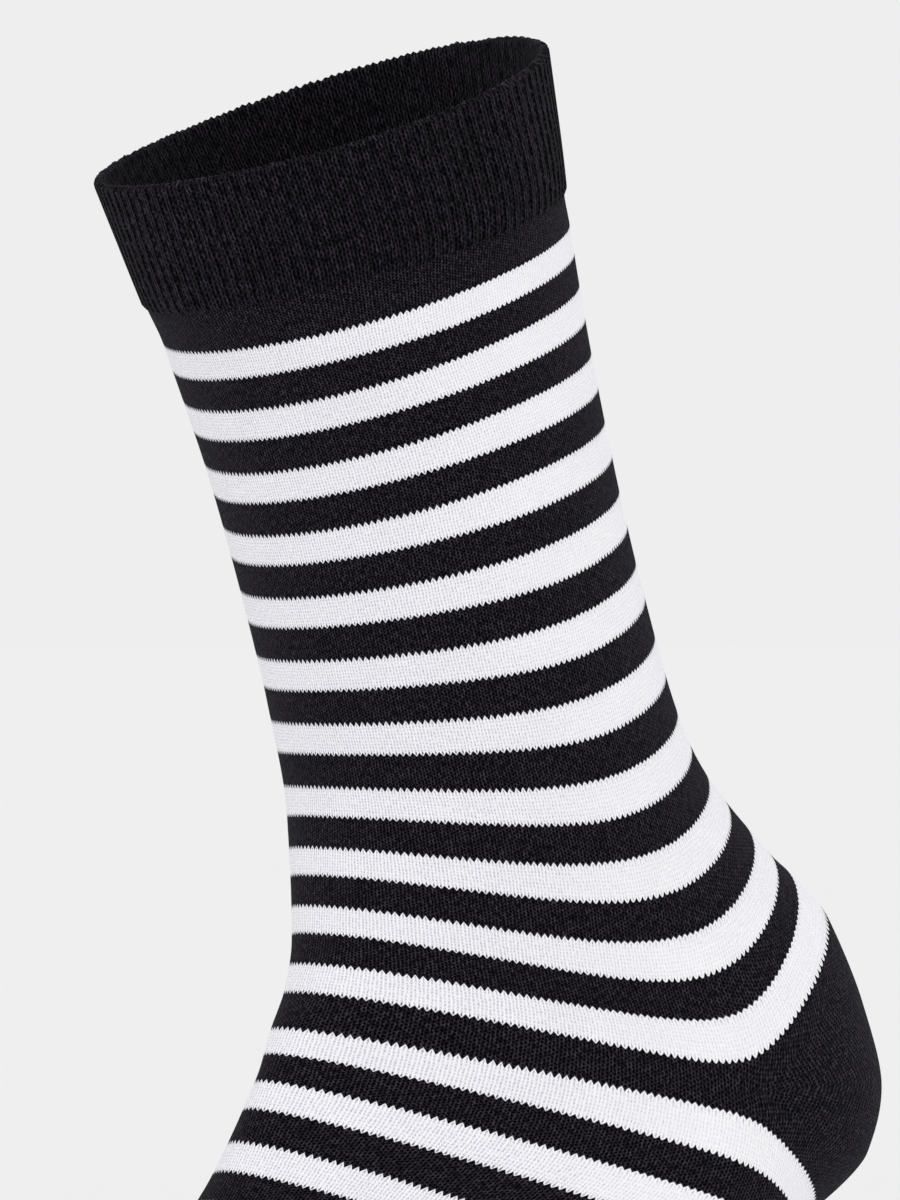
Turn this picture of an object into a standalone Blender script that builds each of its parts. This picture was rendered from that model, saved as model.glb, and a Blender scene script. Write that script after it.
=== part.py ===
"""One knitted crew sock, standing hollow in the shape of the leg and foot that wear it.

The sock is built from the pieces a knitter makes in turn from the top: the rib cuff, the leg,
the heel with the course band that closes it over the instep, the foot and the toe. Each piece is
a closed wall of cloth with its own inside, and neighbours meet at a narrow seam.

The origin is the centre of the leg opening. +Z is up. The sock's mid-plane is the XZ plane, with
the toe towards -X and the heel towards +X. Sizes are in millimetres and angles in degrees.
"""

import math

import bpy
import numpy as np

MM = 0.001

# How the wearer's foot stands in it
SOLE_SLOPE = 20.0  # the sole falls towards the toe
HEEL_REAR = (129.0, -196.0)  # x and z of the point where the back of the heel meets the sole line

# Cloth
JERSEY_WALL = 1.2  # the plain knit of leg, heel, foot and toe
CUFF_INSIDE = 1.2  # the cuff's plain inner face, in from the line of the leg
RIB_TOP = 0.6  # a rib's crown, out from the line of the leg
RIB_GROOVE = -0.2  # the purl groove between two ribs
RIBS = 96
RIB_CROWN_FROM = 0.22  # where a rib's crown starts and ends, as a share of one rib
RIB_CROWN_TO = 0.78
RIB_FINE = 4  # points per rib on the line that the ribs are set out on
RIM_ROUND = 0.35  # each face of the cuff draws in by this much at the folded rim
RIM_TURN = 0.12  # and does so within this share of a stripe
SEAM = 0.3  # the gap between two pieces

# Courses are counted in stripes, down from the first white stripe
RIM = -5.6
RIB_END = -1.5
HEEL_START = 21.0
HEEL_END = 22.0
TOE_START = 39.0
TOE_TIP = 44.4
TOE_LINING_END = 43.6  # the last course that the toe's inner face follows

# Mesh
ROUND = 56  # points round a plain piece: a quarter of them from front to side
LEG_ROWS = 10
HEEL_ROWS = 8
FOOT_ROWS = 9
TOE_ROWS = (TOE_START, 40.2, 41.4, 42.3, 43.0, TOE_LINING_END, 44.0, 44.25, TOE_TIP)
FINE = 720  # points on a course before it is divided evenly
SHARP_ANGLE = 40.0  # faces that meet at more than this are shaded with an edge
SMALL_STEP = 0.02  # the part of a stripe that shows which way the knitting runs

BLACK_YARN = (0.016, 0.015, 0.018, 1.0)
WHITE_YARN = (0.86, 0.87, 0.88, 1.0)
YARN_ROUGHNESS = 0.85


def turned(angle):
    radians = math.radians(angle)
    return np.array([math.cos(radians), math.sin(radians)])


ALONG_SOLE = turned(180.0 + SOLE_SLOPE)
UP_FOOT = turned(90.0 + SOLE_SLOPE)


def foot_point(along, up):
    """A point of the foot, from the rear of the heel along the sole and up from it."""
    return np.array(HEEL_REAR) + ALONG_SOLE * along + UP_FOOT * up


def foot_line(places):
    """A line of the foot, given as (course, along, up), as (course, x, z)."""
    return [(course, *foot_point(along, up)) for course, along, up in places]


# Every course of knitting crosses three lines of the side view, which are each given as
# (course, x, z) with a point only where the line's shape needs one
SHIN = [(RIM, -41, -14), (RIB_END, -31.5, -35.5), (0, -26.5, -42.5), (5, -15.5, -69.5), (11, -5.5, -103)]
ANKLE_BEND = [(15, -1, -125.5), (19, -1.5, -146.5), (HEEL_START, -4.5, -157), (HEEL_END, -8.5, -163)]
INSTEP = [(24, 125.5, 71), (28, 143, 55), (33, 168, 43), (TOE_START, 198, 32), (43, 238, 20), (44, 246, 15)]
FRONT_LINE = SHIN + ANKLE_BEND + foot_line(INSTEP + [(TOE_TIP, 249, 9.5)])

SIDE_OF_LEG = [(RIM, -1, 0), (RIB_END, 8, -22.5), (0, 7.5, -30.5), (5, 17, -58), (11, 30, -97)]
SIDE_OF_ANKLE = [(15, 42.5, -125.5), (19, 62, -155), (HEEL_START, 72, -170.5), (HEEL_END, 73, -181)]
SIDE_OF_FOOT = [(24, 58, 21.5), (26, 80, 19), (33, 145, 18), (TOE_START, 198, 16), (43, 238, 10)]
SIDE_LINE = SIDE_OF_LEG + SIDE_OF_ANKLE + foot_line(SIDE_OF_FOOT + [(TOE_TIP, 249, 9)])

CALF = [(RIM, 39, 16), (RIB_END, 43.5, -9.5), (0, 46.5, -16), (5, 53, -45.5), (11, 64, -83)]
TENDON = [(15, 75.5, -110), (19, 97, -131.5), (HEEL_START, 110.5, -142)]
HEEL_POCKET = [(21.25, 120.5, -160), (21.5, 126, -178), (21.75, 122, -191.5), (HEEL_END, 106, -203)]
SOLE = [(24, 37, 0), (28, 81, 1), (TOE_START, 200, 0), (43, 238, 1), (TOE_TIP, 249, 8.5)]
BACK_LINE = CALF + TENDON + HEEL_POCKET + foot_line(SOLE)

# Half the sock's width at a course
HALF_WIDTH_OF_LEG = [(RIM, 41), (0, 37), (11, 34.5), (19, 31), (HEEL_END, 31)]
HALF_WIDTH_OF_FOOT = [(28, 36), (33, 42), (TOE_START, 45), (41, 42), (43, 33), (44, 20), (TOE_TIP, 3)]
HALF_WIDTH = HALF_WIDTH_OF_LEG + HALF_WIDTH_OF_FOOT

# How full a course is at its front and at its back: 2 is an ellipse, and more is squarer
FULLNESS_OF_LEG = [(11, 2, 2), (19, 2.4, 2), (HEEL_START, 2.3, 2), (HEEL_END, 2.1, 2)]
FULLNESS_OF_FOOT = [(24, 1.9, 2.2), (28, 1.9, 2.4), (33, 2, 2.5), (TOE_START, 2, 2.4), (TOE_TIP, 2, 2)]
FULLNESS = FULLNESS_OF_LEG + FULLNESS_OF_FOOT

# How softly a course bends where it crosses the side: 0 would be a corner
BEND = [(RIM, 0.5), (11, 0.55), (17, 0.55), (HEEL_START, 0.15), (HEEL_END, 0.1), (26, 0.45), (33, 0.4)]


def at_course(line, course):
    """What a line holds at any course: a curve through its points that never swings past them."""
    points = np.array(line, float)
    at, rows = points[:, 0], points[:, 1:]
    course = min(max(course, at[0]), at[-1])
    step = np.diff(at)[:, None]
    slope = np.diff(rows, axis=0) / step
    rate = np.zeros_like(rows)
    rate[0] = slope[0]
    rate[-1] = slope[-1]
    before, after = slope[:-1], slope[1:]
    one_way = before * after > 0
    near, far = 2 * step[1:] + step[:-1], step[1:] + 2 * step[:-1]
    safe_before = np.where(one_way, before, 1.0)
    safe_after = np.where(one_way, after, 1.0)
    mean = (near + far) / (near / safe_before + far / safe_after)
    rate[1:-1] = np.where(one_way, mean, 0.0)
    i = int(np.clip(np.searchsorted(at, course, side="right") - 1, 0, len(at) - 2))
    t = (course - at[i]) / step[i, 0]
    start = (2 * t**3 - 3 * t**2 + 1) * rows[i] + (t**3 - 2 * t**2 + t) * step[i] * rate[i]
    end = (3 * t**2 - 2 * t**3) * rows[i + 1] + (t**3 - t**2) * step[i] * rate[i + 1]
    return start + end


def half_course(course, points):
    """One side of a course from front to back, with `points` steps to the side and as many after."""
    front, side, back = (at_course(line, course) for line in (FRONT_LINE, SIDE_LINE, BACK_LINE))
    half_width = at_course(HALF_WIDTH, course)[0]
    front_full, back_full = at_course(FULLNESS, course)
    bend = at_course(BEND, course)[0]
    # The course bends at the side, over a width set by `bend`, and the corner is moved out a little
    # so that the softened bend still passes the side point.
    lift = (math.sqrt(1 + bend**2) - 1) / 2
    cut = bend / 2 - lift
    corner = (side - cut * (front + back)) / (1 - 2 * cut)
    turn = np.linspace(math.pi, 0.0, FINE + 1)
    power = np.where(np.cos(turn) > 0, 2.0 / back_full, 2.0 / front_full)
    reach = np.sign(np.cos(turn)) * np.abs(np.cos(turn)) ** power

    def softened(amount):
        return (amount + np.sqrt(amount * amount + bend**2)) / 2 - lift

    towards_back = softened(reach)[:, None] * (back - corner)
    towards_front = softened(-reach)[:, None] * (front - corner)
    profile = corner + towards_back + towards_front
    width = -half_width * np.abs(np.sin(turn)) ** power
    line = np.stack([profile[:, 0], width, profile[:, 1]], axis=1)
    run = np.concatenate([[0.0], np.cumsum(np.linalg.norm(np.diff(line, axis=0), axis=1))])
    middle = run[FINE // 2]
    first = np.linspace(0.0, middle, points + 1)
    second = np.linspace(middle, run[-1], points + 1)
    places = np.concatenate([first, second[1:]])
    return np.stack([np.interp(places, run, line[:, axis]) for axis in range(3)], axis=1)


def whole_course(course, around):
    """A course all the way round, front to back on the -Y side and on to the front again."""
    half = half_course(course, around // 4)
    other = half[-2:0:-1] * np.array([1.0, -1.0, 1.0])
    return np.concatenate([half, other])


def unit(vectors):
    return vectors / np.linalg.norm(vectors, axis=-1, keepdims=True)


def down_the_wale(course, around):
    """The direction in which the next course is knitted, at each point of a course."""
    before = whole_course(max(course - SMALL_STEP, RIM), around)
    after = whole_course(min(course + SMALL_STEP, TOE_TIP), around)
    return unit(after - before)


def outwards(course, around):
    """The cloth's outward direction at each point of a course."""
    points = whole_course(course, around)
    along = np.roll(points, -1, axis=0) - np.roll(points, 1, axis=0)
    return unit(np.cross(down_the_wale(course, around), along))


def laid(course, around, out, shift=0.0):
    """A course moved out from the sock's line by `out`, and down the cloth by `shift`."""
    points = whole_course(course, around)
    moved = points + outwards(course, around) * np.reshape(out, (-1, 1))
    return moved + down_the_wale(course, around) * shift


def rows_between(start, end, count):
    return [float(course) for course in np.linspace(start, end, count + 1)]


def plain_layers(courses, top_shift, end_shift):
    """A jersey piece's rings: down its outer face and back up its inner face."""
    shifts = [top_shift] + [0.0] * (len(courses) - 2) + [end_shift]
    outer = [laid(c, ROUND, 0.0, s) for c, s in zip(courses, shifts)]
    inner = [laid(c, ROUND, -JERSEY_WALL, s) for c, s in zip(courses, shifts)]
    return outer, inner[::-1]


def bridge(faces, upper, lower, count):
    for j in range(count):
        k = (j + 1) % count
        faces.append((upper + j, lower + j, lower + k, upper + k))


def tube_mesh(outer, inner):
    """A closed wall from rings that all have the same number of points."""
    rings = outer + inner
    count = len(rings[0])
    faces = []
    for i in range(len(rings)):
        bridge(faces, i * count, (i + 1) % len(rings) * count, count)
    return np.concatenate(rings), faces


def cup_mesh(outer, tip, inner, inner_tip):
    """A wall closed at its far end: the outer and the inner face each run to a point."""
    count = len(outer[0])
    rings = outer + inner
    points = np.concatenate(rings + [tip[None], inner_tip[None]])
    faces = []
    for i in range(len(outer) - 1):
        bridge(faces, i * count, (i + 1) * count, count)
    for i in range(len(outer), len(rings) - 1):
        bridge(faces, i * count, (i + 1) * count, count)
    bridge(faces, (len(rings) - 1) * count, 0, count)
    tip_index = len(rings) * count
    last_outer = (len(outer) - 1) * count
    first_inner = len(outer) * count
    for j in range(count):
        k = (j + 1) % count
        faces.append((last_outer + k, last_outer + j, tip_index))
        faces.append((first_inner + j, first_inner + k, tip_index + 1))
    return points, faces


def rib_course(course, shift, crown, groove):
    """A course of the rib cuff's outer face: for each rib a groove point and the crown's two edges."""
    around = RIBS * RIB_FINE
    places = np.arange(RIBS)[:, None] + np.array([0.0, RIB_CROWN_FROM, RIB_CROWN_TO])
    at = places.reshape(-1) * RIB_FINE
    low = np.floor(at).astype(int)
    high = (low + 1) % around
    part = (at - low)[:, None]
    line = laid(course, around, 0.0, shift)
    direction = outwards(course, around)
    out = np.tile([groove, crown, crown], RIBS)[:, None]
    points = line[low] * (1 - part) + line[high] * part
    return points + unit(direction[low] * (1 - part) + direction[high] * part) * out


def cuff_mesh():
    """The rib cuff: ribs raised on the outer points only, over a plain inside."""
    half_seam = SEAM / 2
    top_side = RIM + RIM_TURN
    low_side = RIB_END - RIM_TURN
    middle = (RIM + RIB_END) / 2
    outer = [
        rib_course(RIM, 0.0, RIB_TOP - RIM_ROUND, RIB_GROOVE - RIM_ROUND),
        rib_course(top_side, 0.0, RIB_TOP, RIB_GROOVE),
        rib_course(middle, 0.0, RIB_TOP, RIB_GROOVE),
        rib_course(low_side, 0.0, RIB_TOP, RIB_GROOVE),
        rib_course(RIB_END, -half_seam, RIB_TOP - RIM_ROUND, RIB_GROOVE),
    ]
    inner = [
        laid(RIB_END, RIBS, -CUFF_INSIDE, -half_seam),
        laid(middle, RIBS, -CUFF_INSIDE),
        laid(top_side, RIBS, -CUFF_INSIDE),
        laid(RIM, RIBS, -CUFF_INSIDE + RIM_ROUND),
    ]
    many = RIBS * 3
    faces = []
    for i in range(len(outer) - 1):
        bridge(faces, i * many, (i + 1) * many, many)
    base = len(outer) * many
    for i in range(len(inner) - 1):
        bridge(faces, base + i * RIBS, base + (i + 1) * RIBS, RIBS)
    last_outer = (len(outer) - 1) * many
    last_inner = base + (len(inner) - 1) * RIBS
    for j in range(RIBS):
        k = (j + 1) % RIBS
        low = [last_outer + (3 * j + n) % many for n in range(4)]
        top = [(3 * j + n) % many for n in range(4)]
        near, far = base + j, base + k
        faces.append((low[1], low[0], near))
        faces.append((low[2], low[1], near, far))
        faces.append((low[3], low[2], far))
        near, far = last_inner + j, last_inner + k
        faces.append((top[0], top[1], near))
        faces.append((top[1], top[2], far, near))
        faces.append((top[2], top[3], far))
    return np.concatenate(outer + inner), faces


def toe_mesh():
    """The toe: a cup that carries on from the foot and rounds off at the toes."""
    courses = list(TOE_ROWS)
    lining = [course for course in courses if course <= TOE_LINING_END]
    half_seam = SEAM / 2
    outer = [laid(courses[0], ROUND, 0.0, half_seam)]
    outer += [whole_course(course, ROUND) for course in courses[1:]]
    inner = [laid(course, ROUND, -JERSEY_WALL) for course in lining[:0:-1]]
    inner.append(laid(lining[0], ROUND, -JERSEY_WALL, half_seam))
    tip = outer[-1].mean(axis=0)
    sole = np.array([ALONG_SOLE[0], 0.0, ALONG_SOLE[1]])
    inner_tip = tip - sole * JERSEY_WALL
    return cup_mesh(outer, tip, inner, inner_tip)


def knit_material(name, colour):
    material = bpy.data.materials.new(name)
    material.use_nodes = True
    shader = material.node_tree.nodes["Principled BSDF"]
    shader.inputs["Base Color"].default_value = colour
    shader.inputs["Roughness"].default_value = YARN_ROUGHNESS
    material.diffuse_color = colour
    return material


def add_piece(name, points, faces, material):
    mesh = bpy.data.meshes.new(name)
    mesh.from_pydata([tuple(point) for point in points * MM], [], faces)
    mesh.materials.append(material)
    mesh.shade_smooth()
    mesh.set_sharp_from_angle(angle=math.radians(SHARP_ANGLE))
    piece = bpy.data.objects.new(name, mesh)
    bpy.context.scene.collection.objects.link(piece)
    return piece


def build():
    for old in list(bpy.data.objects):
        bpy.data.objects.remove(old, do_unlink=True)
    half_seam = SEAM / 2
    cuff_yarn = knit_material("cuff_yarn", BLACK_YARN)
    leg_yarn = knit_material("leg_yarn", WHITE_YARN)
    heel_yarn = knit_material("heel_yarn", BLACK_YARN)
    foot_yarn = knit_material("foot_yarn", WHITE_YARN)
    toe_yarn = knit_material("toe_yarn", BLACK_YARN)
    add_piece("cuff", *cuff_mesh(), cuff_yarn)
    leg = plain_layers(rows_between(RIB_END, HEEL_START, LEG_ROWS), half_seam, -half_seam)
    add_piece("leg", *tube_mesh(*leg), leg_yarn)
    heel = plain_layers(rows_between(HEEL_START, HEEL_END, HEEL_ROWS), half_seam, -half_seam)
    add_piece("heel", *tube_mesh(*heel), heel_yarn)
    foot = plain_layers(rows_between(HEEL_END, TOE_START, FOOT_ROWS), half_seam, -half_seam)
    add_piece("foot", *tube_mesh(*foot), foot_yarn)
    add_piece("toe", *toe_mesh(), toe_yarn)


build()
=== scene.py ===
"""The looks of a striped knitted crew sock, worn hollow.

It has a black rib cuff, a striped leg and foot, and a black heel and toe. Every piece is a sheet of
knitting laid on its solid's form. Wales (columns of stitches) run from the cuff to the toe, and
courses (rows of stitches) run round the sock. Sizes are in millimetres unless a name says
otherwise, and a mesh is turned to metres as it is made.
"""

import math

import bpy
import numpy as np
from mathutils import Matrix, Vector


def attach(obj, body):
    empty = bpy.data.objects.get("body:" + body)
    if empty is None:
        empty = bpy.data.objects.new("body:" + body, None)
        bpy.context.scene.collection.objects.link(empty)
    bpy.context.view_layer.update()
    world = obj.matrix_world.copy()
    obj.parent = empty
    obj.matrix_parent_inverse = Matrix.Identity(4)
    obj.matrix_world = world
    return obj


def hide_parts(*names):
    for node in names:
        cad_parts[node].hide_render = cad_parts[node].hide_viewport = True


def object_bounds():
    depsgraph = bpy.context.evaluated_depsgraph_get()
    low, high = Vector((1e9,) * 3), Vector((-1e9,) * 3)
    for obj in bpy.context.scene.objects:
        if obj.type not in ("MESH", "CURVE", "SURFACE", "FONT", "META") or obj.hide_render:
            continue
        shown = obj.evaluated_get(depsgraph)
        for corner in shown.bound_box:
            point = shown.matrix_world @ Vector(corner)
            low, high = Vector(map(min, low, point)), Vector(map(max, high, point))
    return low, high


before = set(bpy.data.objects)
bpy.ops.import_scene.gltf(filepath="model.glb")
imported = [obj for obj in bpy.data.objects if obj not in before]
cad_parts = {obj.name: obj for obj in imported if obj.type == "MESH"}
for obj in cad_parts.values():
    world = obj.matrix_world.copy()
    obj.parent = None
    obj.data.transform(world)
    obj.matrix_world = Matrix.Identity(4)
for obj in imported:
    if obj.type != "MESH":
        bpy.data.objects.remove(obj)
cad_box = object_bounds()

MM = 0.001

# ---------------------------------------------------------------- camera

VIEW_AZIMUTH = -38.0  # turned from square on towards the toe
VIEW_TARGET = (28.4, 0.0, -86.5)  # inside the leg, at the middle of the height that shows
VIEW_DISTANCE = 1370.0
LENS = 226.0  # on a 36 mm sensor, so that 218 mm of the sock's height fills the frame


def add_camera():
    """A long lens at the sock's own height, square to the leg."""
    data = bpy.data.cameras.new("camera")
    data.lens = LENS
    data.sensor_width = 36.0
    data.clip_end = 100.0
    camera = bpy.data.objects.new("camera", data)
    turn = math.radians(VIEW_AZIMUTH)
    away = np.array([math.sin(turn), -math.cos(turn), 0.0])
    place = (np.array(VIEW_TARGET) + away * VIEW_DISTANCE) * MM
    camera.location = [float(value) for value in place]
    camera.rotation_euler = (math.radians(90.0), 0.0, turn)
    bpy.context.scene.collection.objects.link(camera)
    bpy.context.scene.camera = camera


add_camera()

# ---------------------------------------------------------------- the sock's form

SOLE_SLOPE = 20.0  # the sole falls towards the toe
HEEL_REAR = (129.0, -196.0)  # x and z of the point where the back of the heel meets the sole line

WALES = 192  # stitches round the sock
PER_WALE = 4  # mesh columns to a wale
COLUMNS = WALES * PER_WALE
COURSES = 10  # courses of knitting to a stripe

# Places down the sock are counted in stripes, down from the first white stripe
RIM = -5.6
RIB_END = -1.5
HEEL_START = 21.0
HEEL_END = 22.0
TOE_START = 39.0
TOE_ROUNDS = 43.0  # from here on the toe rounds off, and its mesh rows are closer
TOE_LINING_END = 43.6  # the last course that the toe's inner face follows
TOE_TIP = 44.4

FINE = 720  # points on a course before it is divided evenly
SMALL_STEP = 0.02  # the part of a stripe that shows which way the knitting runs


def turned(angle):
    """A direction in the side view, at so many degrees from the heel's side."""
    radians = math.radians(angle)
    return np.array([math.cos(radians), math.sin(radians)])


ALONG_SOLE = turned(180.0 + SOLE_SLOPE)
UP_FOOT = turned(90.0 + SOLE_SLOPE)


def foot_point(along, up):
    """A point of the foot, from the rear of the heel along the sole and up from it."""
    return np.array(HEEL_REAR) + ALONG_SOLE * along + UP_FOOT * up


def foot_line(places):
    """A line of the foot, given as (course, along, up), as (course, x, z)."""
    return [(course, *foot_point(along, up)) for course, along, up in places]


# Every course of knitting crosses three lines of the side view, each given as (course, x, z).
# Down to course 28 most points are not a design: they are the result of a scratch fit of the
# stripes, thinned and rounded to about half a millimetre, and so are HALF_WIDTH and BEND there.
SHIN = [(RIM, -41, -14), (RIB_END, -31.5, -35.5), (0, -26.5, -42.5), (5, -15.5, -69.5), (11, -5.5, -103)]
ANKLE_BEND = [(15, -1, -125.5), (19, -1.5, -146.5), (HEEL_START, -4.5, -157), (HEEL_END, -8.5, -163)]
INSTEP = [(24, 125.5, 71), (28, 143, 55), (33, 168, 43), (TOE_START, 198, 32), (43, 238, 20), (44, 246, 15)]
FRONT_LINE = SHIN + ANKLE_BEND + foot_line(INSTEP + [(TOE_TIP, 249, 9.5)])

SIDE_OF_LEG = [(RIM, -1, 0), (RIB_END, 8, -22.5), (0, 7.5, -30.5), (5, 17, -58), (11, 30, -97)]
SIDE_OF_ANKLE = [(15, 42.5, -125.5), (19, 62, -155), (HEEL_START, 72, -170.5), (HEEL_END, 73, -181)]
SIDE_OF_FOOT = [(24, 58, 21.5), (26, 80, 19), (33, 145, 18), (TOE_START, 198, 16), (43, 238, 10)]
SIDE_LINE = SIDE_OF_LEG + SIDE_OF_ANKLE + foot_line(SIDE_OF_FOOT + [(TOE_TIP, 249, 9)])

CALF = [(RIM, 39, 16), (RIB_END, 43.5, -9.5), (0, 46.5, -16), (5, 53, -45.5), (11, 64, -83)]
TENDON = [(15, 75.5, -110), (19, 97, -131.5), (HEEL_START, 110.5, -142)]
HEEL_POCKET = [(21.25, 120.5, -160), (21.5, 126, -178), (21.75, 122, -191.5), (HEEL_END, 106, -203)]
SOLE = [(24, 37, 0), (28, 81, 1), (TOE_START, 200, 0), (43, 238, 1), (TOE_TIP, 249, 8.5)]
BACK_LINE = CALF + TENDON + HEEL_POCKET + foot_line(SOLE)

# Half the sock's width at a course
HALF_WIDTH_OF_LEG = [(RIM, 41), (0, 37), (11, 34.5), (19, 31), (HEEL_END, 31)]
HALF_WIDTH_OF_FOOT = [(28, 36), (33, 42), (TOE_START, 45), (41, 42), (43, 33), (44, 20), (TOE_TIP, 3)]
HALF_WIDTH = HALF_WIDTH_OF_LEG + HALF_WIDTH_OF_FOOT

# How full a course is at its front and at its back: 2 is an ellipse, and more is squarer
FULLNESS_OF_LEG = [(11, 2, 2), (19, 2.4, 2), (HEEL_START, 2.3, 2), (HEEL_END, 2.1, 2)]
FULLNESS_OF_FOOT = [(24, 1.9, 2.2), (28, 1.9, 2.4), (33, 2, 2.5), (TOE_START, 2, 2.4), (TOE_TIP, 2, 2)]
FULLNESS = FULLNESS_OF_LEG + FULLNESS_OF_FOOT

# How softly a course bends where it crosses the side: 0 would be a corner
BEND = [(RIM, 0.5), (11, 0.55), (17, 0.55), (HEEL_START, 0.15), (HEEL_END, 0.1), (26, 0.45), (33, 0.4)]

# The part of the stitches between front and side: the heel pocket takes the fewer stitches
HEEL_TO_SIDE = 0.6
TO_SIDE_OF_LEG = [(RIB_END, 0.5), (5, 0.48), (15, 0.5), (HEEL_START, HEEL_TO_SIDE)]
TO_SIDE_OF_FOOT = [(HEEL_END, HEEL_TO_SIDE), (28, HEEL_TO_SIDE), (TOE_START, 0.5)]
TO_SIDE = TO_SIDE_OF_LEG + TO_SIDE_OF_FOOT


def at_course(line, course):
    """What a line holds at any course: a curve through its points that never swings past them."""
    points = np.array(line, float)
    at, rows = points[:, 0], points[:, 1:]
    course = min(max(course, at[0]), at[-1])
    step = np.diff(at)[:, None]
    slope = np.diff(rows, axis=0) / step
    rate = np.zeros_like(rows)
    rate[0] = slope[0]
    rate[-1] = slope[-1]
    before, after = slope[:-1], slope[1:]
    one_way = before * after > 0
    near, far = 2 * step[1:] + step[:-1], step[1:] + 2 * step[:-1]
    safe_before = np.where(one_way, before, 1.0)
    safe_after = np.where(one_way, after, 1.0)
    mean = (near + far) / (near / safe_before + far / safe_after)
    rate[1:-1] = np.where(one_way, mean, 0.0)
    i = int(np.clip(np.searchsorted(at, course, side="right") - 1, 0, len(at) - 2))
    t = (course - at[i]) / step[i, 0]
    start = (2 * t**3 - 3 * t**2 + 1) * rows[i] + (t**3 - 2 * t**2 + t) * step[i] * rate[i]
    end = (3 * t**2 - 2 * t**3) * rows[i + 1] + (t**3 - t**2) * step[i] * rate[i + 1]
    return start + end


def course_line(course, columns):
    """A course all the way round, from the front over the -Y side to the back and home."""
    front, side, back = (at_course(line, course) for line in (FRONT_LINE, SIDE_LINE, BACK_LINE))
    half_width = at_course(HALF_WIDTH, course)[0]
    front_full, back_full = at_course(FULLNESS, course)
    bend = at_course(BEND, course)[0]
    # The course bends at the side, over a width set by `bend`, and the corner is moved out a little
    # so that the softened bend still passes the side point
    lift = (math.sqrt(1 + bend**2) - 1) / 2
    cut = bend / 2 - lift
    corner = (side - cut * (front + back)) / (1 - 2 * cut)
    turn = np.linspace(math.pi, 0.0, FINE + 1)
    power = np.where(np.cos(turn) > 0, 2.0 / back_full, 2.0 / front_full)
    reach = np.sign(np.cos(turn)) * np.abs(np.cos(turn)) ** power

    def softened(amount):
        return (amount + np.sqrt(amount * amount + bend**2)) / 2 - lift

    towards_back = softened(reach)[:, None] * (back - corner)
    towards_front = softened(-reach)[:, None] * (front - corner)
    profile = corner + towards_back + towards_front
    width = -half_width * np.abs(np.sin(turn)) ** power
    line = np.stack([profile[:, 0], width, profile[:, 1]], axis=1)
    run = np.concatenate([[0.0], np.cumsum(np.linalg.norm(np.diff(line, axis=0), axis=1))])
    middle = run[FINE // 2]
    counted = [0.0, at_course(TO_SIDE, course)[0], 1.0]
    places = np.interp(np.linspace(0.0, 1.0, columns // 2 + 1), counted, [0.0, middle, run[-1]])
    half = np.stack([np.interp(places, run, line[:, axis]) for axis in range(3)], axis=1)
    return np.concatenate([half, half[-2:0:-1] * np.array([1.0, -1.0, 1.0])])


def unit(vectors):
    """Each vector at a length of one."""
    return vectors / np.maximum(np.linalg.norm(vectors, axis=-1, keepdims=True), 1e-12)


def smooth_face(courses, columns):
    """Points and outward directions of the plain form, before any stitch is raised."""
    points, directions = [], []
    for course in courses:
        line = course_line(course, columns)
        ahead = course_line(min(course + SMALL_STEP, TOE_TIP), columns)
        behind = course_line(max(course - SMALL_STEP, RIM), columns)
        along = np.roll(line, -1, axis=0) - np.roll(line, 1, axis=0)
        points.append(line)
        directions.append(unit(np.cross(ahead - behind, along)))
    return np.array(points), np.array(directions)


def grid_directions(points):
    """Outward directions of a finished grid of points, for its shading."""
    down = np.gradient(points, axis=0)
    along = np.roll(points, -1, axis=1) - np.roll(points, 1, axis=1)
    return unit(np.cross(down, along))


# ---------------------------------------------------------------- raised stitches

WALE_RELIEF = 0.04  # how far a column of stitches stands above the groove beside it
TOE_RELIEF = 0.7  # the toe's columns stand up by this part of it
JERSEY_WALL = 1.2  # the plain knit of leg, heel, foot and toe
ROWS_A_STRIPE = 5  # mesh rows of the plain knit

CUFF_WALL = 1.3  # the cuff's inner face, in from the line of the leg
RIB_TOP = 0.6  # a rib's crown, out from the line of the leg
RIB_GROOVE = -0.15  # the purl groove between two ribs
RIB_SHOULDER = 0.46  # wales from a rib's crown to where its side starts to fall
RIB_FOOT = 0.98  # and to where it has reached the groove
RIB_FULLNESS = 0.8  # under 1 fills out a rib's shoulders
INNER_RIB = 0.25  # how far a rib stands out inside the cuff
CUFF_ROWS = 42
CUFF_INNER_ROWS = 21

RIM_STEP = 0.14  # the part of a stripe between the rim and the cuff's first row
RIM_TURNS = (0.1, 0.3, 0.5, 0.7, 0.9)  # the rim's rows, as shares of its half turn
RIM_SUNK = 0.55  # the half turn starts this far under the rim
RIM_LIFT = 0.75  # and rises by this much
RIM_LOOP = 0.22  # the last row's loops stand above and below that
RIM_UNEVEN = 0.1  # no two loops of the rim stand quite alike
RIM_STITCHES = 0.25  # the part of a stripe that the rim's own stitches take

EDGE_TURNS = (0.35, 0.7, 1.0)  # rows of the cuff's lower edge, which turns in over the leg
EDGE_DROP = 0.35  # it falls by this much below the ribs
EDGE_IN = 0.25  # and ends this far inside the line of the leg
EDGE_STITCHES = 0.03  # the part of a stripe from one of these rows to the next

# The whole of a piece beyond these rows has one yarn: that of the middle of a black stripe
BAND_ROW = -0.5 * COURSES  # above the first white stripe
TOE_ROW = (TOE_START + 0.5) * COURSES

WALE_AT = np.arange(COLUMNS) / PER_WALE  # a whole number is the middle of a wale
LEG_MIDDLE = 0.2  # of a wale, from its middle to the middle of a stitch's leg

chance = np.random.default_rng(7)
RIM_WANDER = np.repeat(chance.normal(0.0, RIM_UNEVEN, WALES), PER_WALE)


def jersey_height(relief):
    """Columns of stitches rise between grooves, up to the line of the leg."""
    return relief * 0.5 * (np.cos(2 * math.pi * WALE_AT) - 1.0)


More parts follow.
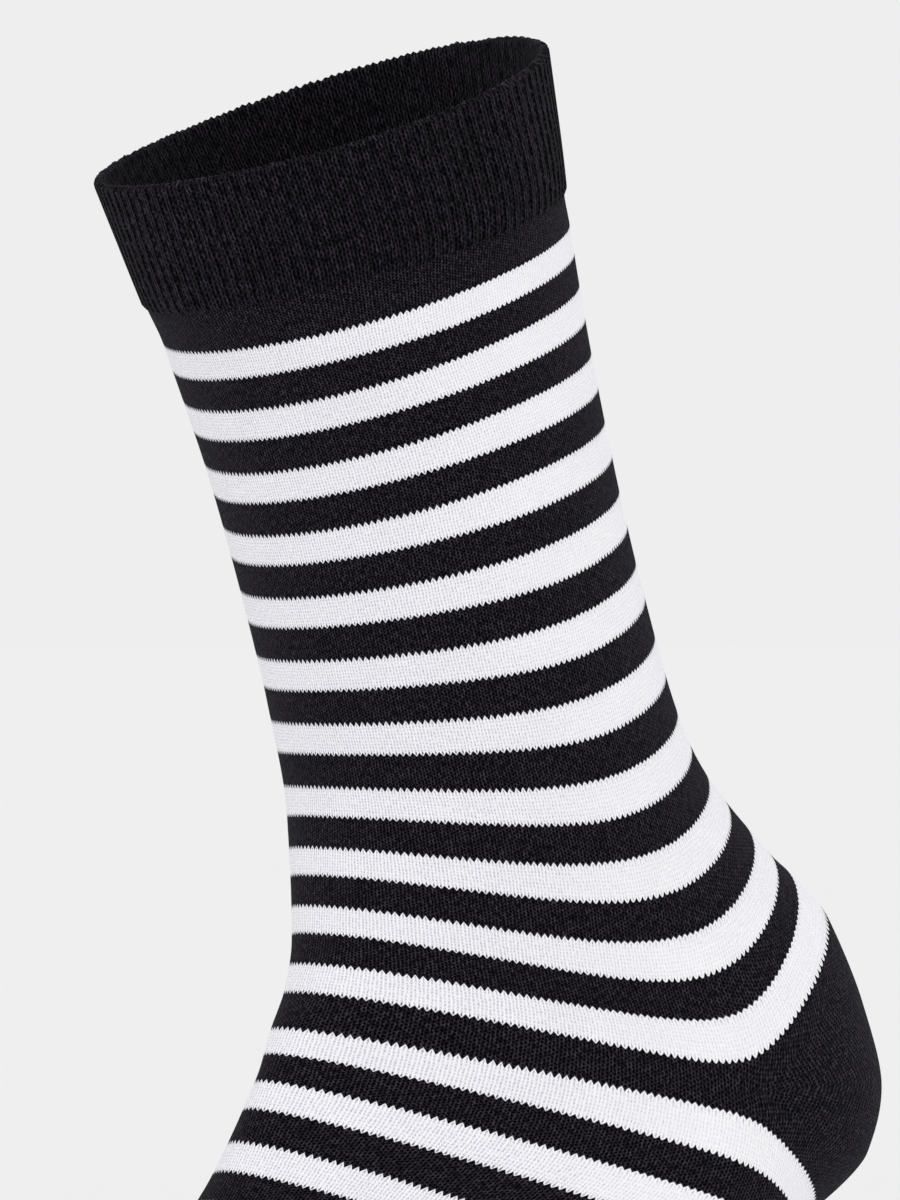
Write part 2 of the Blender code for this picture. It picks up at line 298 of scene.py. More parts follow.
def rib_height(top, groove):
    """Knit wales stand up as ribs on the odd wales, with a purl wale sunk between each two."""
    from_crown = 1.0 - np.abs((WALE_AT + 1.0) % 2.0 - 1.0)
    t = np.clip((RIB_FOOT - from_crown) / (RIB_FOOT - RIB_SHOULDER), 0.0, 1.0)
    return groove + (top - groove) * (t * t * (3 - 2 * t)) ** RIB_FULLNESS


def closed(values):
    """A ring of values with its first one again at the end."""
    return np.concatenate([values, values[:1]])


def corners(values, further):
    """What the four corners of each face in a strip take from the strip's two long edges."""
    return np.stack([values[:-1], further[:-1], further[1:], values[1:]], axis=1)


def tip_fan(row, turned_out, centre):
    """Triangles from a ring of points to a point in its middle."""
    following = np.roll(row, -1)
    pairs = zip(row.tolist(), following.tolist())
    return [(b, a, centre) if turned_out else (a, b, centre) for a, b in pairs]


def knit_piece(name, outer, shading, inner, stitches, stripes, inner_rows, tip=False, lean=None):
    """A closed wall of cloth from its outer and inner rows of points, with its two maps of stitches.

    `stitches` and `stripes` give each strip of the outer face its upper and lower row of stitches,
    and `inner_rows` gives each inner row its own. A `tip` is closed at its far end, and `lean`
    moves the outer face's columns of stitches to the side, in wales.
    """
    rows = len(outer)
    points = np.concatenate([outer, inner[::-1]])
    count = len(points)
    index = np.arange(count * COLUMNS).reshape(count, COLUMNS)
    vertices = points.reshape(-1, 3)
    normals = np.concatenate([shading, -grid_directions(inner)[::-1]]).reshape(-1, 3)
    # Strips run down the outer face, over to the inner one and back up to the start
    strips = [(i, (i + 1) % count) for i in range(count) if not (tip and i == rows - 1)]
    right = np.roll(index, -1, axis=1)
    faces = []
    for i, k in strips:
        faces += np.stack([index[i], index[k], right[k], right[i]], axis=1).tolist()
    if tip:
        along = unit(np.array([[ALONG_SOLE[0], 0.0, ALONG_SOLE[1]]]))
        for row in (rows - 1, rows):
            faces += tip_fan(index[row], row == rows - 1, len(vertices))
            vertices = np.concatenate([vertices, points[row].mean(axis=0)[None]])
            normals = np.concatenate([normals, along])
    mesh = bpy.data.meshes.new(name)
    mesh.from_pydata((vertices * MM).tolist(), [], faces)
    wale = np.concatenate([WALE_AT, [float(WALES)]])

    def write_map(title, outer_rows, inner_rows):
        layer = mesh.uv_layers.new(name=title)
        values = np.zeros((len(mesh.loops), 2), np.float32)
        # What closes a tip shows the yarn of its last row, at the middle of a stitch's leg
        values[:] = LEG_MIDDLE, np.max(outer_rows[-1][1])
        place = 0
        for i, k in strips:
            low, high = row_value(i, k, outer_rows, inner_rows, rows)
            low_wale, high_wale = wale, wale
            if lean is not None and i < rows - 1:
                low_wale = wale + closed(lean[i])
                high_wale = wale + closed(lean[k])
            block = np.stack([corners(low_wale, high_wale), corners(low, high)], axis=2)
            values[place : place + COLUMNS * 4] = block.reshape(-1, 2)
            place += COLUMNS * 4
        layer.data.foreach_set("uv", values.reshape(-1))

    write_map("stitches", stitches, inner_rows)
    limits = [np.min(stripes[0][0]), np.max(stripes[-1][1])]
    write_map("stripes", stripes, np.clip(inner_rows, *limits))
    mesh.shade_smooth()
    mesh.normals_split_custom_set_from_vertices(normals.tolist())
    piece = bpy.data.objects.new(name, mesh)
    bpy.context.scene.collection.objects.link(piece)
    return piece


def row_value(i, k, outer_rows, inner_rows, rows):
    """The row of stitches along the two long edges of one strip of faces."""

    def wide(value):
        value = np.asarray(value, float)
        if value.ndim == 0:
            return np.full(COLUMNS + 1, float(value))
        return closed(value)

    if i < rows - 1:
        return wide(outer_rows[i][0]), wide(outer_rows[i][1])
    inner_up = inner_rows[::-1]
    last = len(inner_up) - 1
    low = inner_up[min(max(i - rows, 0), last)]
    high = inner_up[min(max(k - rows, 0), last)] if k else low
    return wide(low), wide(high)


def plain_rows(courses):
    """Rows of plain knitting: each strip's upper and lower row of stitches."""
    return [(courses[i] * COURSES, courses[i + 1] * COURSES) for i in range(len(courses) - 1)]


def outer_face(courses, height):
    """The outer face with its raised wales, and its shading worked out past both of its ends."""
    small = courses[1] - courses[0]
    wide = [max(courses[0] - small, RIM)] + list(courses) + [min(courses[-1] + small, TOE_TIP)]
    points, directions = smooth_face(wide, COLUMNS)
    raised = points + directions * height[None, :, None]
    return raised[1:-1], grid_directions(raised)[1:-1]


def jersey_inside(courses):
    """The plain inner face of a piece of jersey."""
    points, directions = smooth_face(courses, COLUMNS)
    return points - directions * JERSEY_WALL


def jersey_piece(name, start, end):
    """A tube of plain knit."""
    courses = np.linspace(start, end, int(round((end - start) * ROWS_A_STRIPE)) + 1)
    outer, shading = outer_face(courses, jersey_height(WALE_RELIEF))
    inner_courses = np.linspace(start, end, int(end - start) // 2 + 1)
    inner = jersey_inside(inner_courses)
    rows = plain_rows(courses)
    stripes = [(max(upper, BAND_ROW), max(lower, BAND_ROW)) for upper, lower in rows]
    return knit_piece(name, outer, shading, inner, rows, stripes, inner_courses * COURSES)


def rolled_rim(edge, out, up, rib, inside):
    """Rows of points from the rim's outer side over to its inner side, a half turn in all."""
    middle, half = (rib + inside) / 2, (rib - inside) / 2
    loops = RIM_LOOP * np.cos(2 * math.pi * WALE_AT) + RIM_WANDER
    rows = []
    for share in RIM_TURNS:
        angle = math.pi * (1 - share)
        offset = middle - half * math.cos(angle)
        lift = (RIM_LIFT + loops) * math.sin(angle) - RIM_SUNK
        rows.append(edge + out * offset[:, None] + up * lift[:, None])
    return rows


def turned_edge(edge, out, fall, rib):
    """Rows of points that close the ribs' lower ends and turn in over the leg."""
    rows = []
    for share in EDGE_TURNS:
        offset = rib * (1 - share) + np.minimum(rib, 0.0) * share - EDGE_IN * share
        drop = EDGE_DROP * math.sin(share * math.pi / 2)
        rows.append(edge + out * offset[:, None] + fall * drop)
    return rows


def cuff_piece():
    """The rib cuff: upright ribs, a rim that rolls over, and ribs again inside the opening."""
    down = np.linspace(RIM + RIM_STEP, RIB_END, CUFF_ROWS)
    points, directions = smooth_face(np.concatenate([[RIM], down]), COLUMNS)
    rib = rib_height(RIB_TOP, RIB_GROOVE)
    inside = -CUFF_WALL - INNER_RIB * rib_height(1.0, 0.0)
    rim = rolled_rim(points[0], directions[0], unit(points[0] - points[1]), rib, inside)
    ribs = [point + out * rib[:, None] for point, out in zip(points[1:-1], directions[1:-1])]
    edge = turned_edge(points[-1], directions[-1], unit(points[-1] - points[-2]), rib)
    face = np.array(rim[::-1] + ribs + edge)
    inner_down = np.linspace(RIM + RIM_STEP, RIB_END, CUFF_INNER_ROWS)
    inner_points, inner_out = smooth_face(inner_down, COLUMNS)
    inner = inner_points + inner_out * inside[None, :, None]
    rim_courses = np.linspace(RIM - RIM_STITCHES, RIM, len(rim))
    edge_courses = RIB_END + EDGE_STITCHES * np.arange(len(edge))
    rows = plain_rows(np.concatenate([rim_courses, down[:-1], edge_courses]))
    return knit_piece("cuff_rib", face, grid_directions(face), inner, rows, rows, inner_down * COURSES)


HEEL_ROWS = 60
HEEL_INNER_ROWS = 13
HEEL_COURSE = 0.78  # the height of one course of the pocket, where it is deeper than the band
HEEL_LEAN = 0.2  # wales that a stitch column of the pocket moves towards its middle with each course
HEEL_SPREAD = 0.07  # the pocket's stitches are this much wider than the leg's
POCKET_BLEND = 6.0  # wales over which the band over the instep passes into the pocket
POCKET_EARLY = 2.0  # and wales before the side where that starts
GORE_BLEND = 6.0  # wales at the pocket's middle where the lean changes sides
SPREAD_BLEND = 6.0  # courses over which the spread comes in from the pocket's edges
SPREAD_LATE = 0.2  # and the part of these that is left out first


def heel_piece():
    """The heel pocket: its courses run level with the pocket's upper edge down to the gore line, and
    level with its lower edge from there on."""
    courses = np.linspace(HEEL_START, HEEL_END, HEEL_ROWS + 1)
    outer, shading = outer_face(courses, jersey_height(WALE_RELIEF))
    inner_courses = np.linspace(HEEL_START, HEEL_END, HEEL_INNER_ROWS)
    inner = jersey_inside(inner_courses)
    run = np.linalg.norm(np.diff(outer, axis=0), axis=2)
    total = run.sum(axis=0)
    side_wale = WALES / 2 * HEEL_TO_SIDE
    in_front = np.clip((WALE_AT - side_wale + POCKET_EARLY) / POCKET_BLEND, 0, 1)
    behind = np.clip((WALES - side_wale + POCKET_EARLY - WALE_AT) / POCKET_BLEND, 0, 1)
    pocket = in_front * behind
    deep = COURSES + (np.maximum(total / HEEL_COURSE, COURSES) - COURSES) * pocket
    done = np.concatenate([np.zeros((1, COLUMNS)), np.cumsum(run, axis=0)]) / total
    upper = HEEL_START * COURSES + done * deep
    lower = HEEL_END * COURSES - (1 - done) * deep
    from_back = WALES / 2 - WALE_AT
    side = np.clip(from_back / GORE_BLEND, -1, 1) * pocket
    deep_in = np.minimum(done, 1 - done) * deep
    spread_share = np.clip(deep_in / SPREAD_BLEND - SPREAD_LATE, 0, 1)
    lean = side * (np.abs(from_back) * HEEL_SPREAD * spread_share - HEEL_LEAN * deep_in)
    gore = (HEEL_START + HEEL_END) / 2 * COURSES
    stitches, stripes = [], []
    for i in range(HEEL_ROWS):
        above_gore = i < HEEL_ROWS // 2
        face = upper if above_gore else lower
        bound = np.minimum if above_gore else np.maximum
        stitches.append((face[i], face[i + 1]))
        stripes.append((bound(face[i], gore), bound(face[i + 1], gore)))
    inner_rows = inner_courses * COURSES
    return knit_piece("heel_knit", outer, shading, inner, stitches, stripes, inner_rows, lean=lean)


TOE_STRAIGHT_ROWS = 25
TOE_ROUNDED_ROWS = 15
TOE_INNER_ROWS = 9


def toe_piece():
    """The toe: a cup that carries on from the foot and rounds off at the toes."""
    straight = np.linspace(TOE_START, TOE_ROUNDS, TOE_STRAIGHT_ROWS)
    rounded = np.linspace(TOE_ROUNDS, TOE_TIP, TOE_ROUNDED_ROWS)
    courses = np.concatenate([straight, rounded[1:]])
    outer, shading = outer_face(courses, jersey_height(WALE_RELIEF * TOE_RELIEF))
    inner_courses = np.linspace(TOE_START, TOE_LINING_END, TOE_INNER_ROWS)
    inner = jersey_inside(inner_courses)
    rows = plain_rows(courses)
    stripes = [(min(upper, TOE_ROW), min(lower, TOE_ROW)) for upper, lower in rows]
    return knit_piece("toe_knit", outer, shading, inner, rows, stripes, inner_courses * COURSES, tip=True)


# ---------------------------------------------------------------- yarns


def linear(hex_colour):
    """An sRGB hex colour as linear red, green, blue and alpha."""
    channels = [int(hex_colour[i : i + 2], 16) / 255 for i in (1, 3, 5)]
    return [c / 12.92 if c <= 0.04045 else ((c + 0.055) / 1.055) ** 2.4 for c in channels] + [1.0]


def add(tree, kind, inputs=(), output=0, **settings):
    """Adds a node with its settings and its links, and returns one of its outputs.

    `inputs` holds numbers, colours or other nodes' outputs in the order of the node's sockets, or
    is a dictionary that names the sockets or gives their numbers.
    """
    node = tree.nodes.new("ShaderNode" + kind)
    for key, value in settings.items():
        setattr(node, key, value)
    for key, value in (inputs if isinstance(inputs, dict) else dict(enumerate(inputs))).items():
        socket = node.inputs[key]
        if isinstance(value, bpy.types.NodeSocket):
            tree.links.new(value, socket)
        else:
            socket.default_value = value
    return node.outputs[output]


SMOOTH = {"interpolation_type": "SMOOTHSTEP"}  # eases from one value into the other
COLOURS = {"data_type": "RGBA", "output": 2}  # two colours at sockets 6 and 7, and their share at 0

BLACK_YARN = "#3F3B44"  # dyed cotton blend, a charcoal that leans a little to violet; it is also the lighter colour where a crest's painted highlight is full
BLACK_PAINTED_SHADE = "#020203"  # painted shade between black stitches, where next to no light comes back
BLACK_LINT = "#8A8488"  # pale fibre ends that catch on the black yarn
WHITE_YARN = "#FDFCFF"  # bleached cotton blend
WHITE_PAINTED_SHADE = "#C6C5D4"  # painted shade between white stitches, where the light is dimmer and bluer
SHEEN = "#E8E6EE"

# Noises over the sock: waves to a millimetre, detail and roughness. A cotton fibre is about 0.015 mm
# thick, too fine to show, so fibres are drawn as strands of about a quarter of a millimetre. A
# stitch of the plain knit is about 1.2 mm wide on the leg, and its wanderings are as long or a
# little longer.
FIBRE = (4.2, 2.0, 0.65)
LINT = (1.7, 3.0, 0.7)
CLOUD = (0.11, 2.0, 0.5)
WANDER = (0.85, 1.0, 0.5)
WANDER_ACROSS = (0.64, 1.0, 0.5)

# Pattern sizes: across the sock in wales, and along it in courses
LEG_SLOPE = 2.4  # a stitch leg falls by this much over a wale's width
RIB_SLOPE = 2.8  # the same where a rib is pulled wide
RIB_STITCH = 0.6  # over the same height the rib has this share of the plain knit's courses
WALE_WANDER = 0.28  # how unevenly a column of stitches runs
LEG_WANDER = 1.1  # how unevenly its stitches' legs slope
RIB_LEG_WANDER = 1.6
CHAIN_WANDER = 0.8
STRIPE_WANDER = 0.5  # how unevenly a stripe's edge runs

HOLE_DOWN = (0.4, 1.0)  # a hole's depth at the middle of a course, and between two courses
HOLE_ACROSS = (0.15, 1.0)  # and on a stitch's leg, and where two legs part

CREST = 0.45  # how much painted highlight a black stitch has, all over
CREST_OF_LEG = 0.25  # and how much more where its two legs are
CREST_OF_CHAIN = 0.35  # and where a leg crosses to the next
CREST_OF_RIB_CHAIN = 0.22
CREST_POWER = 2.2  # narrows the crests
LONG_ACROSS = 4.0  # how quickly the yarn's long light and dark change across a wale
LONG_DOWN = 0.6  # and down it
LONG_LIGHT = (0.3, 1.7)  # the light that the dark and the light parts of the yarn give back
CROWN_HIGHLIGHT = (0.7, 1.1)  # and a rib's sides and its crown, where the crown gets a painted highlight
THICK_LIGHT = (0.6, 1.4)  # and a thin leg of a stitch and a thick one

NOISE_SPAN = (0.32, 0.68)  # most of a noise lies between these
STRAND_SPAN = (0.30, 0.70)  # the part of the fibre noise that shows as strands
STRAND_LIGHT = (0.5, 1.5)
FLECK_SPAN = (0.60, 0.78)  # the part of the lint noise that shows as flecks
FLECK_SHARE = 0.16
CLOUD_TONE = (0.96, 1.04)  # how the yarn's tone drifts over the sock
FIBRE_TONE = (0.94, 1.06)  # and from fibre to fibre

GAP_SHADE_POWER = 1.5  # narrows the painted shade in the gaps between white stitches
GAP_SHADE_DEPTH = (1.5, 0.5)  # that shade is darker where the yarn is in its dark parts
CLOSED_UP = (72.0, 42.0)  # the loops close up from this many wales off the middle of the back to this

# What is left of the gaps' painted shade, the teeth and the eyes where the loops have closed up
GAP_SHADE_CLOSED = 0.4
TOOTH_CLOSED = 0.5
EYE_CLOSED = 0.2
TIP_CLOSED = 1.8  # the tips get this power there, which makes them more slender

EDGE_BLUR = 0.15  # courses to either side of a stripe's edge where one yarn passes into the other
TOOTH_SLOPE = 3.0  # a tooth's side runs down by this much over a wale's width
TOOTH_START = -0.4  # courses below the stripe's upper edge, at the middle of a wale
TIP_HEIGHT = 1.1  # courses that a tip pokes up
TIP_START = 0.2  # courses below the stripe's lower edge, between the wales

# Black yarn behind shows through the white loops: in slots of a stripe's first row, at the middle
# of each wale, and in eyes of its last row, between the wales
SLOT_DOWN = 0.75
SLOT_WIDTH = (0.13, 0.03)
SLOT_HEIGHT = (0.75, 0.35)
SLOT_DARK = 0.35
EYE_UP = 0.7
EYE_WIDTH = (0.36, 0.45)
EYE_HEIGHT = (0.55, 0.25)
SHOWS_THROUGH = 0.85

STITCH_DEPTH = 0.00014  # metres of low relief
RIB_STITCH_DEPTH = 0.00022
FIBRE_DEPTH = 0.5  # the fibres add up to this part of it


def knit_material(name, striped, rib):
    """Combed cotton-blend knit: a matt yarn with a faint halo of lint, in V-shaped stitches."""
    material = bpy.data.materials.new(name)
    material.use_nodes = True
    tree = material.node_tree
    shader = tree.nodes["Principled BSDF"]

    def span(value, at_none, at_full):
        """A straight line from one number to another as the value goes from 0 to 1."""
        return add(tree, "Math", (value, at_full - at_none, at_none), operation="MULTIPLY_ADD")

    def cosine(value, waves):
        """A wave from -1 to 1, so many times as the value goes from 0 to 1, with its top at 0."""
        angle = add(tree, "Math", (value, 2 * math.pi * waves), operation="MULTIPLY")
        return add(tree, "Math", (angle,), operation="COSINE")

    def wave(value, waves):
        """The same wave, from 0 to 1."""
        return add(tree, "Math", (cosine(value, waves), 0.5, 0.5), operation="MULTIPLY_ADD")

    place = add(tree, "TexCoord", output="Object")
    noises = []
    for waves, detail, roughness in (FIBRE, LINT, CLOUD, WANDER, WANDER_ACROSS):
        inputs = {"Vector": place, "Scale": waves / MM, "Detail": detail, "Roughness": roughness}
        noises.append(add(tree, "TexNoise", inputs))
    fibre, lint, cloud, wander, wander_across = noises
    wander = add(tree, "Math", (wander, 0.5), operation="SUBTRACT")
    wander_across = add(tree, "Math", (wander_across, 0.5), operation="SUBTRACT")

    # No stitch is quite like the next: each course and wale wanders a little
    stitch_map = add(tree, "UVMap", uv_map="stitches")
    wale = add(tree, "SeparateXYZ", (stitch_map,))
    course = wale.node.outputs[1]
    wale = add(tree, "Math", (wander_across, WALE_WANDER, wale), operation="MULTIPLY_ADD")
    if rib:
        course = add(tree, "Math", (course, RIB_STITCH), operation="MULTIPLY")
    across = add(tree, "Math", (wale, 0.5), operation="ADD")
    across = add(tree, "Math", (across,), operation="FRACT")
    across = add(tree, "Math", (across, 0.5), operation="SUBTRACT")
    from_middle = add(tree, "Math", (across,), operation="ABSOLUTE")

    # Each stitch is two legs that slope down and out from the middle of its wale. A rib pulled wide
    # shows one leg of each stitch, so that all of its strokes lean one way.
    slope = (across, RIB_SLOPE) if rib else (from_middle, LEG_SLOPE)
    fall = add(tree, "Math", slope, operation="MULTIPLY")
    slant = add(tree, "Math", (course, fall), operation="SUBTRACT")
    uneven = RIB_LEG_WANDER if rib else LEG_WANDER
    slant = add(tree, "Math", (wander, uneven, slant), operation="MULTIPLY_ADD")

    # A small hole shows between two courses where legs part: between wales, and in a wale's middle
    between = add(tree, "Math", (1.0, wave(slant, 1)), operation="SUBTRACT")
    apart = wave(from_middle, 2)
    hole = add(tree, "Math", (span(between, *HOLE_DOWN), span(apart, *HOLE_ACROSS)), operation="MULTIPLY")
    height = add(tree, "Math", (1.0, hole), operation="SUBTRACT")

    # Black yarn gives back light only from the crests of its legs: painted highlights on a painted shade.
    # They run down the wale in a chain: each crosses to its neighbour on the left and then to the one
    # on the right.
    down = add(tree, "Math", (wander, CHAIN_WANDER, course), operation="MULTIPLY_ADD")
    chain = add(tree, "Math", (cosine(wale, 1), cosine(down, 1)), operation="MULTIPLY")
    crest_of_chain = CREST_OF_RIB_CHAIN if rib else CREST_OF_CHAIN
    crest_highlight = add(tree, "Math", (cosine(wale, 2), -CREST_OF_LEG, CREST), operation="MULTIPLY_ADD")
    crest_highlight = add(tree, "Math", (chain, -crest_of_chain, crest_highlight), operation="MULTIPLY_ADD")
    crest_highlight = add(tree, "Math", (crest_highlight, 0.0), operation="MAXIMUM")
    crest_highlight = add(tree, "Math", (crest_highlight, CREST_POWER), operation="POWER")
    long_across = add(tree, "Math", (wale, LONG_ACROSS), operation="MULTIPLY")
    long_down = add(tree, "Math", (course, LONG_DOWN), operation="MULTIPLY")
    long_place = add(tree, "CombineXYZ", (long_across, long_down))
    long_leg = add(tree, "TexNoise", {"Vector": long_place, "Scale": 1.0, "Detail": 1.0})
    long_light = add(tree, "MapRange", (long_leg, *NOISE_SPAN, *LONG_LIGHT), **SMOOTH)
    crest_highlight = add(tree, "Math", (crest_highlight, long_light), operation="MULTIPLY")
    if rib:
        # A rib's crown catches more light than its sides, painted in as a highlight
        crown_highlight = span(wave(from_middle, 1), *CROWN_HIGHLIGHT)
        crest_highlight = add(tree, "Math", (crest_highlight, crown_highlight), operation="MULTIPLY")

    # The yarn's own thick and thin: every leg of every stitch gives back a little more or less light
    leg_cell = add(tree, "Math", (wale, 2.0), operation="MULTIPLY")
    leg_cell = add(tree, "Math", (leg_cell,), operation="FLOOR")
    row_cell = add(tree, "Math", (slant, 0.5), operation="ADD")
    row_cell = add(tree, "Math", (row_cell,), operation="FLOOR")
    cell = add(tree, "CombineXYZ", (leg_cell, row_cell))
    thick = add(tree, "TexWhiteNoise", {"Vector": cell})

    strand = add(tree, "MapRange", (fibre, *STRAND_SPAN, *STRAND_LIGHT), **SMOOTH)
    # Painted highlights on the crests over painted shade, varied at random by the strands and by each leg's
    # thick and thin
    highlight_share = add(tree, "Math", (crest_highlight, strand), operation="MULTIPLY")
    highlight_share = add(tree, "Math", (highlight_share, span(thick, *THICK_LIGHT)), operation="MULTIPLY")
    black = add(tree, "Mix", {0: highlight_share, 6: linear(BLACK_PAINTED_SHADE), 7: linear(BLACK_YARN)}, **COLOURS)
    fleck = add(tree, "MapRange", (lint, *FLECK_SPAN), **SMOOTH)
    fleck = add(tree, "Math", (fleck, FLECK_SHARE), operation="MULTIPLY")
    colour = add(tree, "Mix", {0: fleck, 6: black, 7: linear(BLACK_LINT)}, **COLOURS)

    if striped:
        # Over the tendon and the heel the knitting is stretched less, and its loops close up
        from_back = add(tree, "Math", (wale, WALES / 2), operation="SUBTRACT")
        from_back = add(tree, "Math", (from_back,), operation="ABSOLUTE")
        close = add(tree, "MapRange", (from_back, *CLOSED_UP), **SMOOTH)
        # Painted shade in the gaps between white stitches
        gap_shade = add(tree, "Math", (hole, GAP_SHADE_POWER), operation="POWER")
        gap_shade_depth = add(tree, "MapRange", (long_leg, *NOISE_SPAN, *GAP_SHADE_DEPTH), **SMOOTH)
        gap_shade = add(tree, "Math", (gap_shade, gap_shade_depth), operation="MULTIPLY")
        gap_shade = add(tree, "Math", (gap_shade, span(close, 1.0, GAP_SHADE_CLOSED)), operation="MULTIPLY")
        white = add(tree, "Mix", {0: gap_shade, 6: linear(WHITE_YARN), 7: linear(WHITE_PAINTED_SHADE)}, **COLOURS)

        # Rows down from where white begins: below 0 is the lower half of the black stripe above it
        stripe_map = add(tree, "UVMap", uv_map="stripes")
        row = add(tree, "SeparateXYZ", (stripe_map,), output=1)
        half = COURSES / 2
        in_pair = add(tree, "Math", (wander, STRIPE_WANDER, row), operation="MULTIPLY_ADD")
        in_pair = add(tree, "Math", (in_pair, half), operation="ADD")
        in_pair = add(tree, "Math", (in_pair, 2.0 * COURSES), operation="FLOORED_MODULO")
        in_pair = add(tree, "Math", (in_pair, half), operation="SUBTRACT")
        # Where black ends, its last stitches hang down as teeth between the wales
        tooth = add(tree, "Math", (from_middle, span(close, 1.0, TOOTH_CLOSED)), operation="MULTIPLY")
        tooth = add(tree, "Math", (tooth, TOOTH_SLOPE, TOOTH_START), operation="MULTIPLY_ADD")
        started = add(tree, "Math", (in_pair, tooth), operation="SUBTRACT")
        started = add(tree, "MapRange", (started, -EDGE_BLUR, EDGE_BLUR), **SMOOTH)
        # Where black begins, its first stitches poke up as tips in the middle of each wale
        near_middle = span(from_middle, 1.0, -1.0)
        tip = add(tree, "Math", (near_middle, span(close, 1.0, TIP_CLOSED)), operation="POWER")
        tip = add(tree, "Math", (tip, -TIP_HEIGHT, COURSES + TIP_START), operation="MULTIPLY_ADD")
        ended = add(tree, "Math", (in_pair, tip), operation="SUBTRACT")
        ended = add(tree, "MapRange", (ended, -EDGE_BLUR, EDGE_BLUR), **SMOOTH)
        not_ended = add(tree, "Math", (1.0, ended), operation="SUBTRACT")
        share = add(tree, "Math", (started, not_ended), operation="MULTIPLY")

        from_slot = add(tree, "Math", (in_pair, SLOT_DOWN), operation="SUBTRACT")
        from_slot = add(tree, "Math", (from_slot,), operation="ABSOLUTE")
        slot_across = add(tree, "MapRange", (from_middle, *SLOT_WIDTH), **SMOOTH)
        slot_down = add(tree, "MapRange", (from_slot, *SLOT_HEIGHT, 0.0, SLOT_DARK), **SMOOTH)
        slot = add(tree, "Math", (slot_across, slot_down), operation="MULTIPLY")
        from_eye = add(tree, "Math", (in_pair, COURSES - EYE_UP), operation="SUBTRACT")
        from_eye = add(tree, "Math", (from_eye,), operation="ABSOLUTE")
        eye_across = add(tree, "MapRange", (from_middle, *EYE_WIDTH), **SMOOTH)
        eye_down = add(tree, "MapRange", (from_eye, *EYE_HEIGHT), **SMOOTH)
        eye = add(tree, "Math", (eye_across, eye_down), operation="MULTIPLY")
        eye = add(tree, "Math", (eye, span(close, 1.0, EYE_CLOSED)), operation="MULTIPLY")
        dark = add(tree, "Math", (slot, eye), operation="MAXIMUM")
        dark = add(tree, "Math", (dark, SHOWS_THROUGH), operation="MULTIPLY")
        not_dark = add(tree, "Math", (1.0, dark), operation="SUBTRACT")
        share = add(tree, "Math", (share, not_dark), operation="MULTIPLY")
        colour = add(tree, "Mix", {0: share, 6: colour, 7: white}, **COLOURS)

    # The yarn's tone drifts a little over the sock and from fibre to fibre
    tones = (span(cloud, *CLOUD_TONE), span(fibre, *FIBRE_TONE))
    tone = add(tree, "Math", tones, operation="MULTIPLY")
    grey = add(tree, "CombineXYZ", (tone, tone, tone))
    toned = add(tree, "Mix", {0: 1.0, 6: colour, 7: grey}, blend_type="MULTIPLY", **COLOURS)
    tree.links.new(toned, shader.inputs["Base Color"])

    # The stitches' low relief, with fibres that break it up
    relief = add(tree, "Math", (fibre, FIBRE_DEPTH, height), operation="MULTIPLY_ADD")
    depth = RIB_STITCH_DEPTH if rib else STITCH_DEPTH
    bump = add(tree, "Bump", {"Height": relief, "Strength": 0.8, "Distance": depth})
    tree.links.new(bump, shader.inputs["Normal"])
    # Cotton is matt, and only its standing fibres give back a little light at a glance
    shader.inputs["Roughness"].default_value = 0.9
    shader.inputs["Specular IOR Level"].default_value = 0.01
    shader.inputs["Sheen Weight"].default_value = 0.05
    shader.inputs["Sheen Roughness"].default_value = 0.4
    shader.inputs["Sheen Tint"].default_value = linear(SHEEN)
    return material


striped_jersey = knit_material("striped_cotton_jersey", striped=True, rib=False)
black_rib = knit_material("black_cotton_rib", striped=False, rib=True)

# ---------------------------------------------------------------- the pieces

cuff = cuff_piece()
leg = jersey_piece("leg_knit", RIB_END, HEEL_START)
heel = heel_piece()
foot = jersey_piece("foot_knit", HEEL_END, TOE_START)
toe = toe_piece()

# piece, node it stands for, material, flat width and length in metres, and its flat area in square
# metres where that isn't width by length
PIECES = [
    (cuff, "cuff", black_rib, 0.190, 0.032, None),
    (leg, "leg", striped_jersey, 0.195, 0.150, None),
    (heel, "heel", striped_jersey, 0.100, 0.080, 0.0065),
    (foot, "foot", striped_jersey, 0.195, 0.145, None),
    (toe, "toe", striped_jersey, 0.105, 0.085, 0.0085),
]

for piece, node, material, flat_width, flat_length, flat_area in PIECES:
    piece.data.materials.append(material)
    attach(piece, "root")
    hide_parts(node)

# ---------------------------------------------------------------- floor and light

BACKDROP = "#EEEEEE"
FLOOR_RADIUS = 30.0  # metres
FLOOR_GAP = 0.001  # metres under the sock's lowest point
# name, strength, azimuth, height and spread: a broad lamp to the right of the camera, and a stronger
# one nearer to the camera on its left
LAMPS = [("side_light", 0.44, 30.0, 6.0, 60.0), ("fill_light", 0.78, -72.0, 6.0, 70.0)]


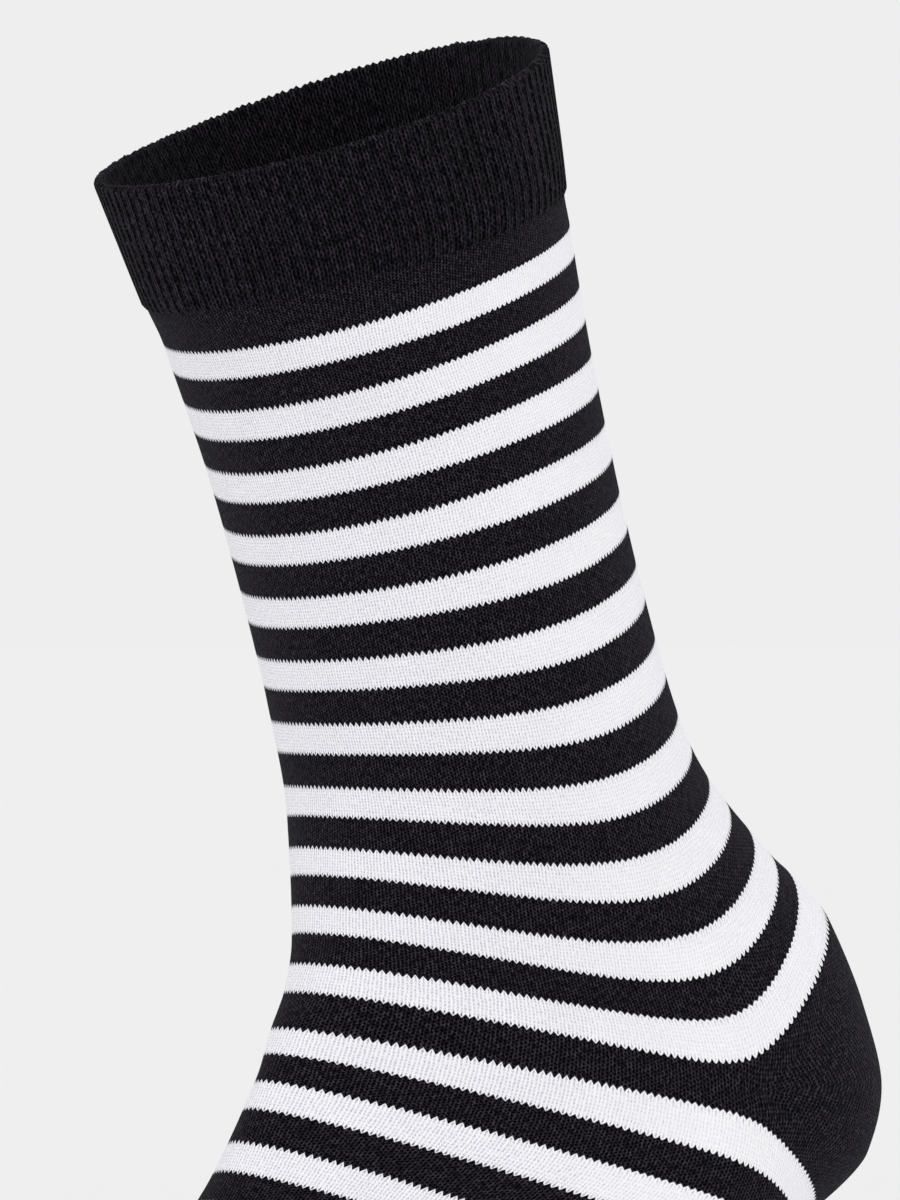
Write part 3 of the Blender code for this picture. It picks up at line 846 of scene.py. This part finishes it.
def level_share(height, spread):
    """How much of a broad lamp's light lands on a level floor, its disc being partly below it."""
    many = 60
    off_axis = np.radians(spread / 2) * np.sqrt((np.arange(many)[:, None] + 0.5) / many)
    round_axis = 2 * math.pi * np.arange(many)[None, :] / many
    tilt = math.radians(height)
    sideways = np.sin(off_axis) * np.cos(round_axis)
    upward = math.sin(tilt) * np.cos(off_axis) + math.cos(tilt) * sideways
    return float(np.maximum(upward, 0.0).mean())


def add_floor(bottom):
    """A plain pale floor, of the paleness that makes it one with the backdrop."""
    bpy.ops.object.select_all(action="DESELECT")
    place = (0.0, 0.0, bottom)
    bpy.ops.mesh.primitive_circle_add(vertices=96, radius=FLOOR_RADIUS, fill_type="NGON", location=place)
    floor = bpy.context.object
    floor.name = "floor"
    material = bpy.data.materials.new("pale_floor")
    material.use_nodes = True
    shader = material.node_tree.nodes["Principled BSDF"]
    level = linear(BACKDROP)[0]
    lamps_add = 0.0
    for _, strength, _, height, spread in LAMPS:
        lamps_add += strength * level_share(height, spread) / math.pi
    shader.inputs["Base Color"].default_value = [level / (level + lamps_add)] * 3 + [1.0]
    shader.inputs["Roughness"].default_value = 1.0
    shader.inputs["Specular IOR Level"].default_value = 0.0
    floor.data.materials.append(material)


def add_sun(name, strength, azimuth, height, spread):
    """A broad soft lamp. The azimuth is that of a view: 0 shines from -Y, and -90 from the toe's side."""
    data = bpy.data.lights.new(name, "SUN")
    data.energy = strength
    data.angle = math.radians(spread)
    lamp = bpy.data.objects.new(name, data)
    lamp.rotation_euler = (math.radians(90.0 - height), 0.0, math.radians(azimuth))
    bpy.context.scene.collection.objects.link(lamp)


def add_world():
    """An even pale backdrop, which also lights the sock from all round."""
    world = bpy.data.worlds.new("studio")
    world.use_nodes = True
    world.node_tree.nodes["Background"].inputs[0].default_value = linear(BACKDROP)
    world.node_tree.nodes["Background"].inputs[1].default_value = 1.0
    bpy.context.scene.world = world


add_floor(cad_box[0][2] - FLOOR_GAP)
add_world()
for lamp in LAMPS:
    add_sun(*lamp)
bpy.context.scene.view_settings.view_transform = "Standard"
